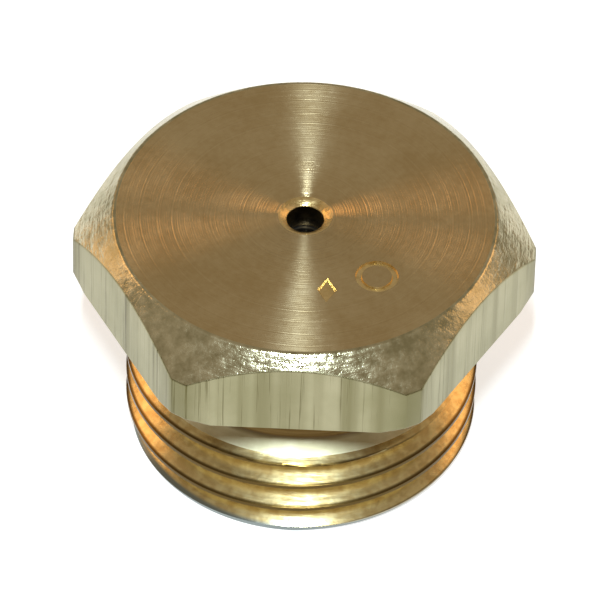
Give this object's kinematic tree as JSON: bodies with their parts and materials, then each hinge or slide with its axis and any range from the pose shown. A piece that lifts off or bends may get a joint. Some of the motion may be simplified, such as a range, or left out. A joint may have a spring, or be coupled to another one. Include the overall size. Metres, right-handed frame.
{
  "type": "oil burner nozzle",
  "caption": "Hex-head pressure-jet oil nozzle with a flat spray face, threaded shank, swirl core held by a lock screw, and a disc strainer pushed in from the rear.",
  "frame": {"origin": "centre of the rear end face of the threaded shank, where the nozzle stands", "axes": "+Z along the nozzle's axis towards the spray face; +X through a corner of the hexagon; -Y square to a flat of the hexagon"},
  "size_m": [0.018, 0.016, 0.0108],
  "materials": {
    "body_brass": "turned and drawn free-cutting brass, bare",
    "hard_steel": "ground hardened stainless steel",
    "spring_steel": "blued spring steel",
    "screw_brass": "turned brass, bare",
    "strip_brass": "pressed and pierced strip brass",
    "wire_gauze": "woven stainless wire"
  },
  "bodies": {
    "nozzle_body": {"nozzle_body": "body_brass", "orifice_disc": "hard_steel"},
    "swirl_core": {"swirl_core": "hard_steel", "core_clip": "spring_steel"},
    "lock_screw": {"lock_screw": "screw_brass"},
    "strainer": {"strainer_shell": "strip_brass", "strainer_grid": "strip_brass", "strainer_gauze": "wire_gauze", "strainer_ring": "spring_steel"}
  },
  "joints": [
    {"name": "core_withdraw", "type": "slide", "parent": "nozzle_body", "child": "swirl_core", "axis": [0, 0, -1], "range_m": [0, 0.00521]},
    {"name": "lock_screw_turn", "type": "hinge", "parent": "swirl_core", "child": "lock_screw", "pos_m": [0, 0, 0], "axis": [0, 0, -1], "range_deg": [0, 1872]},
    {"name": "strainer_pull", "type": "slide", "parent": "lock_screw", "child": "strainer", "axis": [0, 0, -1], "range_m": [0, 0.003]}
  ],
  "couplings": [
    {"joint": "core_withdraw", "follows": "lock_screw_turn", "m_per_rad": 0.00015915}
  ]
}
